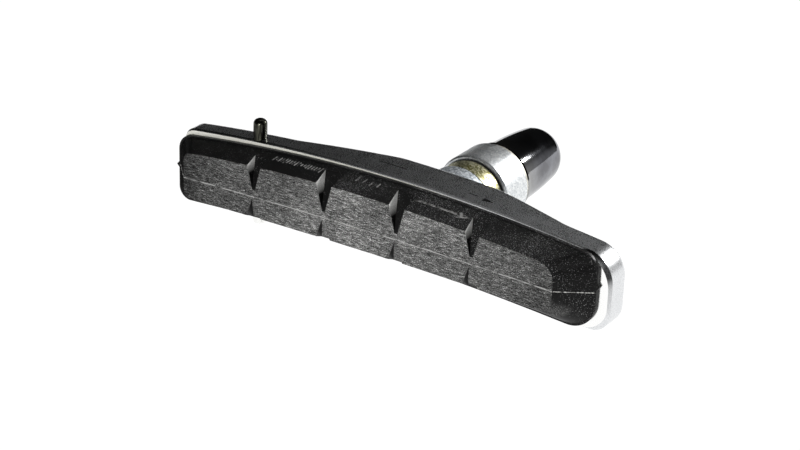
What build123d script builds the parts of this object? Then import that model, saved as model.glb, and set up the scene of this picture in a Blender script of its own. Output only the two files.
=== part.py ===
from build123d import *
import os
from math import sqrt

# Rim brake shoe with a threaded stud: a rubber insert in an aluminium holder, and the washers and nut
# that clamp it to a brake arm. Millimetres.
# X runs along the shoe, +X at its closed end. Y is the stud axis, +Y away from the rim. Z points away
# from the wheel axle. The origin is on the stud axis, where the washers bear on the back of the holder.

os.makedirs("parts", exist_ok=True)

# Holder: shallow arcs above and below follow the rim
holder_depth = 7.35  # front rim to the washer seat
holder_left = -42.2  # open end
holder_right = 31.3  # closed end
holder_top = 6.85  # crown of the top arc
holder_top_radius = 278.0
holder_bottom = -6.05
holder_bottom_radius = 480.0
holder_arc_x = -8.5  # crown of the arcs, measured from the stud
holder_top_corner = 4.6  # closed end, seen from the front
holder_bottom_corner = 3.0
holder_open_corner = 2.1
holder_back_edge = 1.1
holder_front_edge = 0.2  # the rim lies this far inside the outline
holder_closed_edge = 0.4  # and this far at the closed end
holder_front_lead = 0.45
holder_corner_growth = 0.8  # its closed corners are rounder than the outline's
back_left_depth = 3.7  # front rim to back at the open end
back_ramp_depth = 4.2  # where the back starts to thicken
back_right_depth = 4.8
seat_left = -7.2  # flat behind the stud
seat_right = 9.4
ramp_left = -23.5  # thickening of the back, from here to the seat
ramp_right = 21.5
ramp_blend = 9.0

# Insert: what is seen of it tapers from the flange to the braking face
insert_left = -42.7
insert_right = 29.4
insert_top = 6.5  # crown of the flange
insert_top_radius = 262.0
insert_bottom = -5.7
insert_bottom_radius = 450.0
insert_top_x = -5.5  # crowns of its arcs
insert_bottom_x = -12.0
insert_top_corner = 2.7
insert_left_corner = 2.0  # bottom corners
insert_right_corner = 4.0
flange_thickness = 0.55
flange_step = 0.25
insert_height = 4.27  # front rim of the holder to the braking face
face_mid_x = -7.2
face_length = 63.5
face_top = 4.75
face_top_radius = 278.0
face_bottom = -3.8
face_bottom_radius = 950.0
face_corner_left = 1.5
face_corner_right = 2.7
parting_z = -0.6  # the two halves of the mould meet here
nib_width = 1.0  # flash left at both ends of the parting line
nib_left = 0.45
nib_left_z = -1.15
nib_right = 0.3
nib_right_z = -0.35

# Grooves: notches that run out at the parting line and deepen towards both sides
groove_count = 4
groove_pitch = 12.5
groove_tip_width = 0.5
groove_top_width = 2.7  # at the edges of the braking face
groove_bottom_width = 2.4
groove_land_top = 1.1  # parting line to the tip of the upper notch
groove_land_bottom = 0.35
groove_floor_slope = 0.53  # depth gained for each millimetre of height
cutter_height = 8.0
cutter_lead = 2.0  # in front of the braking face

# Dovetail channel in the holder and rail on the insert
channel_depth = 2.5
channel_mid_z = -1.2
channel_mouth = 8.2
channel_flare = 12.0  # degrees
channel_end_wall = 2.6
rail_clearance = 0.12
rail_end_clearance = 1.0

# Split pin through the holder and the rail
pin_x = -28.85
pin_behind_rim = 1.3
pin_diameter = 2.1
pin_clearance = 0.05
pin_top = 9.2
pin_tip = 0.75  # rounding
pin_bottom = -7.6
pin_slit = 0.2
pin_turn = 49.0  # degrees, slit about the pin axis
pin_bend = 1.5  # solid length at the folded end

# Stud and the stack on it
stud_diameter = 6.0
stud_head_diameter = 8.8
stud_head_thickness = 1.4
stud_engagement = 5.8  # length inside the nut
stud_chamfer = 0.6
bore_clearance = 0.25
thread_clearance = 0.02
spacer_diameter = 11.36
spacer_thickness = 3.95
ball_diameter = 10.9
ball_rim = 3.35  # straight part under the dome
ball_radius = 8.0
cup_diameter = 12.0
cup_thickness = 6.1
cup_mouth_diameter = 11.1
cup_gap = 0.3  # ball washer rim to cup washer mouth
cup_chamfer_depth = 0.35
seat_clearance = 0.05
washer_diameter = 11.1
washer_thickness = 1.0
nut_flange_diameter = 11.0
nut_flange_thickness = 0.6
nut_neck_diameter = 10.06  # just above the flange
nut_belly_diameter = 10.0  # a third of the way up
nut_shoulder_diameter = 8.95  # where the rounded end starts
nut_end_diameter = 6.6
nut_length = 13.2
nut_nose_length = 2.3
socket_flats = 5.0
socket_depth = 4.4
edge_break = 0.25

# Places worked out from the sizes
rim_y = -holder_depth
flange_y = rim_y - flange_thickness
face_y = rim_y - insert_height
floor_y = rim_y + channel_depth
lead_y = rim_y + holder_front_lead
back_slope = (back_ramp_depth - back_left_depth) / (ramp_left - holder_left)
face_left = face_mid_x - face_length / 2
face_right = face_mid_x + face_length / 2
pin_y = rim_y + pin_behind_rim
bore_radius = stud_diameter / 2 + bore_clearance
ball_y = spacer_thickness
dome_y = ball_y + ball_rim
dome_centre_y = dome_y - sqrt(ball_radius**2 - (ball_diameter / 2) ** 2)
dome_top_y = dome_centre_y + sqrt(ball_radius**2 - bore_radius**2)
cup_y = dome_y + cup_gap
cup_radius = ball_radius + seat_clearance
cup_seat_y = cup_y + cup_chamfer_depth
cup_seat_r = sqrt(cup_radius**2 - (cup_seat_y - dome_centre_y) ** 2)
cup_bore_y = dome_centre_y + sqrt(cup_radius**2 - bore_radius**2)
washer_y = cup_y + cup_thickness
nut_y = washer_y + washer_thickness
nut_end_y = nut_y + nut_length
nut_neck_y = nut_y + nut_flange_thickness + edge_break
nut_shoulder_y = nut_end_y - nut_nose_length
nut_belly_y = nut_neck_y + (nut_shoulder_y - nut_neck_y) / 3
stud_end_y = nut_y + stud_engagement
far = 60.0


def arc_height(x, crown, radius, crown_x):
    """Height at x of a shallow arc that has its crown at crown_x."""
    return crown - (radius - sqrt(radius**2 - (x - crown_x) ** 2))


def shoe_outline(left, right, top, top_radius, top_x, bottom, bottom_radius, bottom_x, corners):
    """Front view of a shoe: two shallow arcs and two straight ends.

    The corners are rounded in this order: top left, top right, bottom right, bottom left.
    """
    mid = (left + right) / 2
    with BuildLine() as outline:
        upper = ThreePointArc(
            (left, arc_height(left, top, top_radius, top_x)),
            (mid, arc_height(mid, top, top_radius, top_x)),
            (right, arc_height(right, top, top_radius, top_x)),
        )
        lower = ThreePointArc(
            (right, arc_height(right, bottom, bottom_radius, bottom_x)),
            (mid, arc_height(mid, bottom, bottom_radius, bottom_x)),
            (left, arc_height(left, bottom, bottom_radius, bottom_x)),
        )
        Line(upper @ 1, lower @ 0)
        Line(lower @ 1, upper @ 0)
    make_face(outline.edges())
    for end, side, radius in zip((0, -1, -1, 0), (-1, -1, 0, 0), corners):
        fillet(vertices().group_by(Axis.X)[end].sort_by(Axis.Y)[side], radius)


def holder_outline(edge, closed_edge, corner_growth):
    """Front view of the holder, drawn in by these amounts."""
    shoe_outline(
        holder_left + edge,
        holder_right - closed_edge,
        holder_top - edge,
        holder_top_radius,
        holder_arc_x,
        holder_bottom + edge,
        holder_bottom_radius,
        holder_arc_x,
        (holder_open_corner, holder_top_corner + corner_growth, holder_bottom_corner + corner_growth, holder_open_corner),
    )


# Holder
with BuildPart() as holder:
    # Broken edge round the rim, wide at the closed end, and the body behind it
    with BuildSketch(Plane.XZ.offset(-rim_y)):
        holder_outline(holder_front_edge, holder_closed_edge, holder_corner_growth)
    with BuildSketch(Plane.XZ.offset(-lead_y)):
        holder_outline(0, 0, 0)
    loft(ruled=True)
    with BuildSketch(Plane.XZ.offset(-lead_y)):
        holder_outline(0, 0, 0)
    extrude(amount=lead_y)
    # Plan view: thick behind the stud, thin towards both ends
    with BuildSketch(Plane.XY):
        with BuildLine():
            Polyline(
                (holder_left - far, rim_y),
                (holder_left - far, rim_y + back_left_depth - far * back_slope),
                (ramp_left, rim_y + back_ramp_depth),
                (seat_left, 0),
                (seat_right, 0),
                (ramp_right, rim_y + back_right_depth),
                (holder_right + far, rim_y + back_right_depth),
                (holder_right + far, rim_y),
                close=True,
            )
        make_face()
        bends = vertices().filter_by(lambda v: holder_left < v.X < holder_right)
        fillet(bends, ramp_blend)
    extrude(amount=far, both=True, mode=Mode.INTERSECT)
    # Rounded edge round the back; the seams between its flats and bends stay as they are
    back = faces().filter_by(lambda f: f.normal_at().Y > 0.8)
    seams = back.edges().filter_by(Axis.Z).filter_by_position(Axis.X, ramp_left - ramp_blend, ramp_right + ramp_blend)
    fillet(back.edges() - seams, holder_back_edge)
    # Dovetail channel, open at the left
    with BuildSketch(Plane.XZ.offset(-rim_y)):
        channel_right = holder_right - channel_end_wall
        with Locations((channel_right - far, channel_mid_z)):
            Rectangle(2 * far, channel_mouth)
    extrude(amount=-channel_depth, taper=-channel_flare, mode=Mode.SUBTRACT)
    # Stud bore from the seat and a pocket for the stud's head in the channel floor
    with BuildSketch(Plane.XZ):
        Circle(stud_diameter / 2)
    extrude(amount=holder_depth, mode=Mode.SUBTRACT)
    with BuildSketch(Plane.XZ.offset(-floor_y)):
        Circle(stud_head_diameter / 2)
    extrude(amount=-stud_head_thickness, mode=Mode.SUBTRACT)
    # Pin hole
    with Locations((pin_x, pin_y, 0)):
        Cylinder(pin_diameter / 2 + pin_clearance, far, mode=Mode.SUBTRACT)
holder.part.label = "holder"
export_step(holder.part, "parts/holder.step")

# Cutters for the grooves: one above the parting line, one below
front_y = face_y - cutter_lead
upper_tip_z = parting_z + groove_land_top
lower_tip_z = parting_z - groove_land_bottom
upper_run = face_top - upper_tip_z
lower_run = lower_tip_z - face_bottom
upper_growth = (groove_top_width - groove_tip_width) / upper_run
lower_growth = (groove_bottom_width - groove_tip_width) / lower_run
floor_gain = groove_floor_slope * cutter_height

with BuildPart() as upper_groove:
    with BuildSketch(Plane.XY.offset(upper_tip_z)):
        with Locations((0, (front_y + face_y) / 2)):
            Rectangle(groove_tip_width, face_y - front_y)
    with BuildSketch(Plane.XY.offset(upper_tip_z + cutter_height)):
        with Locations((0, (front_y + face_y + floor_gain) / 2)):
            Rectangle(groove_tip_width + upper_growth * cutter_height, face_y + floor_gain - front_y)
    loft()

with BuildPart() as lower_groove:
    with BuildSketch(Plane.XY.offset(lower_tip_z)):
        with Locations((0, (front_y + face_y) / 2)):
            Rectangle(groove_tip_width, face_y - front_y)
    with BuildSketch(Plane.XY.offset(lower_tip_z - cutter_height)):
        with Locations((0, (front_y + face_y + floor_gain) / 2)):
            Rectangle(groove_tip_width + lower_growth * cutter_height, face_y + floor_gain - front_y)
    loft()

# Insert
with BuildPart() as pad:
    # Flange that lies on the rim of the holder
    with BuildSketch(Plane.XZ.offset(-rim_y)) as flange_outline:
        shoe_outline(
            insert_left,
            insert_right,
            insert_top,
            insert_top_radius,
            insert_top_x,
            insert_bottom,
            insert_bottom_radius,
            insert_bottom_x,
            (insert_top_corner, insert_top_corner, insert_right_corner, insert_left_corner),
        )
    extrude(amount=flange_thickness)
    # Nibs of flash where the parting line meets the ends of the flange
    with BuildSketch(Plane.XZ.offset(-rim_y)):
        with BuildLine():
            Polyline(
                (insert_left, nib_left_z + nib_width / 2),
                (insert_left - nib_left, nib_left_z),
                (insert_left, nib_left_z - nib_width / 2),
                (insert_right, nib_right_z - nib_width / 2),
                (insert_right + nib_right, nib_right_z),
                (insert_right, nib_right_z + nib_width / 2),
                close=True,
            )
        make_face()
    extrude(amount=flange_thickness)
    # Body, from just inside the flange to the braking face
    with BuildSketch(Plane.XZ.offset(-flange_y)):
        shoe_outline(
            insert_left + flange_step,
            insert_right - flange_step,
            insert_top - flange_step,
            insert_top_radius,
            insert_top_x,
            insert_bottom + flange_step,
            insert_bottom_radius,
            insert_bottom_x,
            (insert_top_corner, insert_top_corner, insert_right_corner, insert_left_corner),
        )
    with BuildSketch(Plane.XZ.offset(-face_y)):
        shoe_outline(
            face_left,
            face_right,
            face_top,
            face_top_radius,
            holder_arc_x,
            face_bottom,
            face_bottom_radius,
            holder_arc_x,
            (face_corner_left, face_corner_right, face_corner_right, face_corner_left),
        )
    loft(ruled=True)
    # Grooves
    with Locations((face_mid_x, 0, 0)):
        with GridLocations(groove_pitch, 0, groove_count, 1):
            add(upper_groove.part, mode=Mode.SUBTRACT)
            add(lower_groove.part, mode=Mode.SUBTRACT)
    # Rail in the dovetail channel
    with BuildSketch(Plane.XZ.offset(-rim_y)):
        rail_left = insert_left + insert_top_corner
        rail_right = holder_right - channel_end_wall - rail_end_clearance
        with Locations(((rail_left + rail_right) / 2, channel_mid_z)):
            Rectangle(rail_right - rail_left, channel_mouth - 2 * rail_clearance)
    extrude(amount=-(channel_depth - rail_clearance), taper=-channel_flare)
    with Locations((pin_x, pin_y, 0)):
        Cylinder(pin_diameter / 2 + pin_clearance, far, mode=Mode.SUBTRACT)
pad.part.label = "pad"
export_step(pad.part, "parts/pad.step")

# Split pin: half-round wire folded double
with BuildPart() as split_pin:
    with BuildSketch(Plane.XY.offset(pin_bottom)):
        with Locations((pin_x, pin_y)):
            Circle(pin_diameter / 2)
    extrude(amount=pin_top - pin_bottom)
    chamfer(edges().group_by(Axis.Z)[0], edge_break)
    fillet(edges().group_by(Axis.Z)[-1], pin_tip)
    slit_plane = Plane(origin=(pin_x, pin_y, pin_bottom)).rotated((0, 0, pin_turn))
    with BuildSketch(slit_plane):
        Rectangle(pin_slit, 2 * pin_diameter)
    extrude(amount=pin_top - pin_bottom - pin_bend, mode=Mode.SUBTRACT)
split_pin.part.label = "split_pin"
export_step(split_pin.part, "parts/split_pin.step")

# Stud: its head lies in the channel floor, under the rail
with BuildPart() as stud:
    with BuildSketch(Plane.XZ.offset(-floor_y)):
        Circle(stud_head_diameter / 2)
    extrude(amount=-stud_head_thickness)
    with BuildSketch(Plane.XZ.offset(-floor_y - stud_head_thickness)):
        Circle(stud_diameter / 2)
    extrude(amount=-(stud_end_y - floor_y - stud_head_thickness))
    chamfer(edges().group_by(Axis.Y)[-1], stud_chamfer)
stud.part.label = "stud"
export_step(stud.part, "parts/stud.step")

# Spacer between the holder and the ball washer
with BuildPart() as spacer:
    with BuildSketch(Plane.XZ):
        Circle(spacer_diameter / 2)
        Circle(bore_radius, mode=Mode.SUBTRACT)
    extrude(amount=-spacer_thickness)
    rims = edges().filter_by(GeomType.CIRCLE).filter_by(lambda e: e.radius > bore_radius)
    chamfer(rims, edge_break)
spacer.part.label = "spacer"
export_step(spacer.part, "parts/spacer.step")

# Ball washer: flat towards the spacer, domed towards the cup washer
with BuildPart() as ball_washer:
    with BuildSketch(Plane.XY):
        with BuildLine():
            Polyline(
                (bore_radius, dome_top_y),
                (bore_radius, ball_y),
                (ball_diameter / 2 - edge_break, ball_y),
                (ball_diameter / 2, ball_y + edge_break),
                (ball_diameter / 2, dome_y),
            )
            RadiusArc((ball_diameter / 2, dome_y), (bore_radius, dome_top_y), -ball_radius)
        make_face()
    revolve(axis=Axis.Y)
ball_washer.part.label = "ball_washer"
export_step(ball_washer.part, "parts/ball_washer.step")

# Cup washer: its hollow swivels on the dome, its flat face bears on the brake arm
with BuildPart() as cup_washer:
    with BuildSketch(Plane.XY):
        with BuildLine():
            RadiusArc((cup_seat_r, cup_seat_y), (bore_radius, cup_bore_y), -cup_radius)
            Polyline(
                (bore_radius, cup_bore_y),
                (bore_radius, washer_y),
                (cup_diameter / 2 - edge_break, washer_y),
                (cup_diameter / 2, washer_y - edge_break),
                (cup_diameter / 2, cup_y + edge_break),
                (cup_diameter / 2 - edge_break, cup_y),
                (cup_mouth_diameter / 2, cup_y),
                (cup_seat_r, cup_seat_y),
            )
        make_face()
    revolve(axis=Axis.Y)
cup_washer.part.label = "cup_washer"
export_step(cup_washer.part, "parts/cup_washer.step")

# Flat washer under the nut
with BuildPart() as flat_washer:
    with BuildSketch(Plane.XZ.offset(-washer_y)):
        Circle(washer_diameter / 2)
        Circle(bore_radius, mode=Mode.SUBTRACT)
    extrude(amount=-washer_thickness)
    rims = edges().filter_by(GeomType.CIRCLE).filter_by(lambda e: e.radius > bore_radius)
    chamfer(rims, edge_break)
flat_washer.part.label = "flat_washer"
export_step(flat_washer.part, "parts/flat_washer.step")

# Nut: a thin flange, and a slightly curved body with a hexagon socket in its rounded end
with BuildPart() as nut:
    with BuildSketch(Plane.XY):
        with BuildLine():
            side = ThreePointArc(
                (nut_neck_diameter / 2, nut_neck_y),
                (nut_belly_diameter / 2, nut_belly_y),
                (nut_shoulder_diameter / 2, nut_shoulder_y),
            )
            TangentArc(side @ 1, (nut_end_diameter / 2, nut_end_y), tangent=side % 1)
            Polyline(
                (nut_end_diameter / 2, nut_end_y),
                (0, nut_end_y),
                (0, nut_y),
                (nut_flange_diameter / 2 - edge_break, nut_y),
                (nut_flange_diameter / 2, nut_y + edge_break),
                (nut_flange_diameter / 2, nut_y + nut_flange_thickness),
                side @ 0,
            )
        make_face()
    revolve(axis=Axis.Y)
    with BuildSketch(Plane.XZ.offset(-nut_y)):
        Circle(stud_diameter / 2 + thread_clearance)
    extrude(amount=-(nut_length - socket_depth), mode=Mode.SUBTRACT)
    with BuildSketch(Plane.XZ.offset(-nut_end_y)):
        RegularPolygon(socket_flats / 2, 6, major_radius=False)
    extrude(amount=socket_depth, mode=Mode.SUBTRACT)
nut.part.label = "nut"
export_step(nut.part, "parts/nut.step")
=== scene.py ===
# %% [markdown]
# # A rim brake shoe, dressed for its portrait
# The solid model of a bicycle brake shoe is already made: a rubber insert in an aluminium holder, a split
# pin, and a stack of washers and a nut on a stud. This lesson leaves those shapes alone, gives every piece
# the finish of its real material, and adds the small things that only the eye needs. Sizes are in
# millimetres on paper and in metres in Blender, so one constant turns one into the other.

# %% The frame and the units
import bpy
import bmesh
import math
from mathutils import Matrix, Vector


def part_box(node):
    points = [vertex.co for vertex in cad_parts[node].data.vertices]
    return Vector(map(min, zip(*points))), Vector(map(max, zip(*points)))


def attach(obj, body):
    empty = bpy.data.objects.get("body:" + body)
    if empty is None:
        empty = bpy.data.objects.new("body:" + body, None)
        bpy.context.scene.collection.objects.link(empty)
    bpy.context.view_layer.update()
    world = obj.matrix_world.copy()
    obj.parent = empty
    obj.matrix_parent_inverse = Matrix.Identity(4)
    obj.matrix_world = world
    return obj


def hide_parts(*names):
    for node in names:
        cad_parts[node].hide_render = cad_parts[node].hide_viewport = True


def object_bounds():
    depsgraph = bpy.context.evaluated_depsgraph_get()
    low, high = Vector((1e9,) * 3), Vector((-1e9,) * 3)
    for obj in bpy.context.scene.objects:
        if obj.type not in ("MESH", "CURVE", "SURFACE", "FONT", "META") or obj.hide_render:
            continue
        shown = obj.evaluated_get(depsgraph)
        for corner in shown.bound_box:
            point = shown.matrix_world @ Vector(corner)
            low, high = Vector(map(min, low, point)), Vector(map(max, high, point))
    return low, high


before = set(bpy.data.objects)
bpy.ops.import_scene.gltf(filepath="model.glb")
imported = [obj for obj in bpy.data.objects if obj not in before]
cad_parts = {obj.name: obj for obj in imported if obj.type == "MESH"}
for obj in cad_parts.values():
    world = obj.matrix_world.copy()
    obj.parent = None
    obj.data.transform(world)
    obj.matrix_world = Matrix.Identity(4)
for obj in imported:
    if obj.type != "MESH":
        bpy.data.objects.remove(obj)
cad_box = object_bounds()
scene = bpy.context.scene
MM = 0.001
print("pieces from the solid model:", ", ".join(sorted(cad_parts)))

# %% [markdown]
# ## Three small helpers
# Colours are easiest to pick as the hex values of a paint program, but a shader wants linear light, so one
# function turns the first into the second. Another adds a node to any tree, sets its properties and fills or
# links its inputs, which keeps the recipes below short. The third starts a material: a shader, and the
# object's own coordinates counted in millimetres, so that the size of every pattern can be read off directly.

# %% Helpers for colours and nodes
def srgb(code):
    """A colour such as '#c8c8c8' as linear red, green, blue and alpha."""
    parts = [int(code[i:i + 2], 16) / 255 for i in (1, 3, 5)]
    return [p / 12.92 if p <= 0.04045 else ((p + 0.055) / 1.055) ** 2.4 for p in parts] + [1.0]


def add(tree, kind, inputs=None, ramp=None, **settings):
    """One new node. A socket given as an input is linked to, anything else is set as a value.

    A colour ramp takes its stops as a list of position and hex colour.
    """
    made = tree.nodes.new(kind)
    for name, value in settings.items():
        setattr(made, name, value)
    for name, value in (inputs or {}).items():
        if isinstance(value, bpy.types.NodeSocket):
            tree.links.new(value, made.inputs[name])
        else:
            made.inputs[name].default_value = value
    for number, (position, code) in enumerate(ramp or ()):
        stops = made.color_ramp.elements
        stop = stops[number] if number < len(stops) else stops.new(position)
        stop.position = position
        stop.color = srgb(code)
    return made


def start_material(name, **constants):
    """A material, its tree, its shader, and its object coordinates in millimetres."""
    material = bpy.data.materials.new(name)
    material.use_nodes = True
    tree = material.node_tree
    tree.nodes.clear()
    shader = add(tree, "ShaderNodeBsdfPrincipled", constants)
    add(tree, "ShaderNodeOutputMaterial", {"Surface": shader.outputs["BSDF"]})
    place = add(tree, "ShaderNodeTexCoord")
    in_mm = add(tree, "ShaderNodeMapping", {"Vector": place.outputs["Object"], "Scale": (1 / MM,) * 3})
    return material, tree, shader, in_mm.outputs["Vector"]


print("mid grey is", [round(c, 3) for c in srgb("#808080")])

# %% [markdown]
# ## The camera
# The picture this scene follows was taken from the front right and a little above, with a long lens. Its
# place is given the way a photographer would say it: how far round, how high, how far away and how level.
# Turning those into the camera's own three axes by hand keeps the small tilt of the horizon, which a
# Track To constraint would straighten.

# %% Camera
camera_round = math.radians(32.34)
camera_high = math.radians(25.16)
camera_tilt = math.radians(2.05)
camera_far = 320 * MM
aim = Vector((-3.0, -7.35, -0.30)) * MM
image_width = 800
focal_pixels = 2231.5

back = Vector((
    math.sin(camera_round) * math.cos(camera_high),
    -math.cos(camera_round) * math.cos(camera_high),
    math.sin(camera_high),
))
level = Vector((math.cos(camera_round), math.sin(camera_round), 0))
upright = back.cross(level)
right = level * math.cos(camera_tilt) + upright * math.sin(camera_tilt)
up = upright * math.cos(camera_tilt) - level * math.sin(camera_tilt)

lens = bpy.data.cameras.new("portrait lens")
lens.sensor_fit = "HORIZONTAL"
lens.sensor_width = 36
lens.lens = lens.sensor_width * focal_pixels / image_width
lens.clip_start = 0.01
camera = bpy.data.objects.new("portrait camera", lens)
camera_turn = Matrix((right, up, back)).transposed().to_4x4()
camera.matrix_world = Matrix.Translation(aim + back * camera_far) @ camera_turn
scene.collection.objects.link(camera)
scene.camera = camera
print("lens %.1f mm, camera at" % lens.lens, [round(c / MM, 1) for c in camera.location])

# %% [markdown]
# ## The table
# Metal shows what is round it, so what surrounds the shoe is half of every metal finish here. The shoe stands
# on a white table that glows by itself. What faces the table turns white, and no shadow shows. A white cloth
# under many lamps would do the same, but a glowing plane is simpler and even from edge to edge.

# %% Table
table_reach = 2.0  # metres, far beyond the picture
table_z = cad_box[0].z
table_mesh = bpy.data.meshes.new("table")
table_mesh.from_pydata(
    [(x * table_reach, y * table_reach, table_z) for x, y in ((-1, -1), (1, -1), (1, 1), (-1, 1))],
    [],
    [(0, 1, 2, 3)],
)
table = bpy.data.objects.new("table", table_mesh)
scene.collection.objects.link(table)
table_paint = start_material(
    "matt white light table",
    **{"Base Color": srgb("#3a3a3a"), "Roughness": 0.9, "Specular IOR Level": 0.1,
       "Emission Color": srgb("#ffffff"), "Emission Strength": 1.02},
)[0]
table_mesh.materials.append(table_paint)
print("table at z = %.2f mm" % (table_z / MM))

# %% [markdown]
# ## The room and the lamps
# The room is dark, so metal that faces it turns nearly black. Its wall glows a little behind the shoe on the
# right, which runs soft gradients round the nut and the washers. Four soft boxes do the rest. The strong one
# from the right and behind whitens the washers and the rounded corner of the holder. Two weak ones above run
# a gradient along the holder's top and along the upper side of the insert. The last one stands low in front,
# where no edge mirrors it, and helps the table to light the braking face.

# %% Room and lamps
room_glow, wall_glow = 0.012, 0.40
wall_towards = Vector((0.64, 0.76, 0.0)).normalized()
wall_edge = 0.90  # cosine of the angle from the wall's middle at which its glow has gone
room = bpy.data.worlds.new("dark room")
room.use_nodes = True
tree = room.node_tree
surroundings = tree.nodes["Background"]
surroundings.inputs["Color"].default_value = srgb("#ffffff")
looking = add(tree, "ShaderNodeTexCoord")
to_wall = add(tree, "ShaderNodeVectorMath", {
    0: looking.outputs["Generated"], 1: wall_towards,
}, operation="DOT_PRODUCT")
wall = add(tree, "ShaderNodeMapRange", {
    "Value": to_wall.outputs["Value"], "From Min": wall_edge, "From Max": 1.0,
    "To Min": room_glow, "To Max": wall_glow,
}, interpolation_type="SMOOTHSTEP")
tree.links.new(wall.outputs["Result"], surroundings.inputs["Strength"])
scene.world = room
scene.view_settings.view_transform = "Standard"

# Name, direction from the shoe, then distance, width and height in metres, and watts
soft_boxes = (
    ("soft box, right and behind", (0.445, 0.780, 0.441), 0.45, 0.045, 0.045, 1.5),
    ("soft box, above the stud", (-0.20, 0.60, 0.77), 0.45, 0.12, 0.12, 0.05),
    ("soft box, above the insert", (-0.33, 0.26, 0.91), 0.45, 0.12, 0.12, 0.05),
    ("soft box, low in front", (0.20, -0.95, 0.25), 0.25, 0.08, 0.05, 0.40),
)
for name, towards, distance, width, height, watts in soft_boxes:
    lamp = bpy.data.lights.new(name, "AREA")
    lamp.shape = "RECTANGLE"
    lamp.size = width
    lamp.size_y = height
    lamp.energy = watts
    stand = bpy.data.objects.new(name, lamp)
    out = Vector(towards).normalized()
    lamp_turn = out.to_track_quat("Z", "Y").to_matrix().to_4x4()
    stand.matrix_world = Matrix.Translation(aim + out * distance) @ lamp_turn
    scene.collection.objects.link(stand)

# %% [markdown]
# ## A black card
# A photographer who wants a bright metal edge to show against a bright table lays a black card beside it,
# just out of the picture, and the edge mirrors the card as a thin dark line. Here the card may lie in the
# picture, because a Blender object can be hidden from the camera alone and still show in every mirror. It
# fades to white at its tip, so the line fades towards the foot of the shoe.

# %% Black card beside the closed end
card_lift = 0.3  # above the table
card_corners = ((34.5, -8.8), (1065, -1723), (1900, -1700), (1980, -350))  # the tip comes first
card_white_x, card_black_x = 35.0, 75.0
card_tip_glow = 0.9
card_z = table_z / MM + card_lift
card_mesh = bpy.data.meshes.new("black_card")
card_mesh.from_pydata([Vector((x, y, card_z)) * MM for x, y in card_corners], [], [(0, 1, 2, 3)])
card = bpy.data.objects.new("black_card", card_mesh)
card.visible_camera = False
scene.collection.objects.link(card)
card_paint, tree, shader, in_mm = start_material(
    "matt black card, fading to white at its tip",
    **{"Base Color": srgb("#050505"), "Roughness": 0.9, "Specular IOR Level": 0.1,
       "Emission Color": srgb("#ffffff")},
)
place = add(tree, "ShaderNodeSeparateXYZ", {"Vector": in_mm})
fading = add(tree, "ShaderNodeMapRange", {
    "Value": place.outputs["X"], "From Min": card_white_x, "From Max": card_black_x,
    "To Min": card_tip_glow, "To Max": 0.0,
})
tree.links.new(fading.outputs["Result"], shader.inputs["Emission Strength"])
card_mesh.materials.append(card_paint)
print("black card lies %.1f mm above the table" % card_lift)

# %% [markdown]
# ## Cast aluminium for the holder
# The holder is a small aluminium casting, tumbled to a satin. Such a surface is a soft mirror with a fine
# pebbly skin, little more than a tenth of a millimetre from bump to bump. The flat rim was ground after
# casting. Its colour is painted a little darker and warmer towards the open end, as painted shade, and it
# mirrors less there, so it is picked out by its place: it is the only part of the holder that lies right at
# the front. Along the top, painted shade darkens the front edge just behind the rim. That edge is found by
# the way it faces.

# %% Material: satin cast aluminium, its colour
holder_low, holder_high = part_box("holder")
rim_y = holder_low.y / MM
open_x, closed_x = holder_low.x / MM, holder_high.x / MM
pebble_size = 0.13
rim_slack = 0.02  # what lies this close to the front is rim
edge_shade_starts, edge_shade_full = 0.13, 0.19  # behind the rim
edge_shade_cover = 0.75
satin_aluminium, tree, shader, in_mm = start_material("cast aluminium, tumbled satin")
normal = add(tree, "ShaderNodeTexCoord").outputs["Normal"]
place = add(tree, "ShaderNodeSeparateXYZ", {"Vector": in_mm})
facing = add(tree, "ShaderNodeSeparateXYZ", {"Vector": normal})

# The pebbly skin, and the rim with its painted shade
pebble = add(tree, "ShaderNodeTexNoise", {
    "Vector": in_mm, "Scale": 1 / pebble_size, "Detail": 2.0, "Roughness": 0.6,
})
skin = add(tree, "ShaderNodeValToRGB", {"Fac": pebble.outputs["Fac"]}, ramp=[
    (0.30, "#cdcfd1"), (0.70, "#f0f1f2"),
])
ground = add(tree, "ShaderNodeMath", {0: place.outputs["Y"], 1: rim_y + rim_slack}, operation="LESS_THAN")
along = add(tree, "ShaderNodeMapRange", {
    "Value": place.outputs["X"], "From Min": open_x, "From Max": closed_x,
})
# Painted shade: the rim's colour is darker and warmer towards the open end.
rim_painted_shade = add(tree, "ShaderNodeValToRGB", {"Fac": along.outputs["Result"]}, ramp=[
    (0.55, "#e4e3da"), (0.95, "#fafaf9"),
])
rim_tint = add(tree, "ShaderNodeMix", {
    "Factor": ground.outputs["Value"], "A": skin.outputs["Color"], "B": rim_painted_shade.outputs["Color"],
}, data_type="RGBA")

# Painted shade on the upper front edge
front_edge = add(tree, "ShaderNodeMapRange", {
    "Value": facing.outputs["Y"], "From Min": -0.05, "From Max": -0.25,
})
behind_rim = add(tree, "ShaderNodeMapRange", {
    "Value": place.outputs["Y"], "From Min": rim_y + edge_shade_starts, "From Max": rim_y + edge_shade_full,
})
on_edge = add(tree, "ShaderNodeMath", {
    0: front_edge.outputs["Result"], 1: behind_rim.outputs["Result"],
}, operation="MULTIPLY")
upward = add(tree, "ShaderNodeMapRange", {
    "Value": facing.outputs["Z"], "From Min": 0.2, "From Max": 0.5, "To Min": 0.0, "To Max": edge_shade_cover,
})
painted_edge_shade = add(tree, "ShaderNodeMath", {
    0: on_edge.outputs["Value"], 1: upward.outputs["Result"],
}, operation="MULTIPLY")
# Painted shade: dark grey laid on the upward-facing front edge just behind the rim.
edge_shaded = add(tree, "ShaderNodeMix", {
    "Factor": painted_edge_shade.outputs["Value"], "A": rim_tint.outputs["Result"], "B": srgb("#3a3a3a"),
}, data_type="RGBA")
tree.links.new(edge_shaded.outputs["Result"], shader.inputs["Base Color"])
print("rim of the holder at y = %.2f mm" % rim_y)
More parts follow.
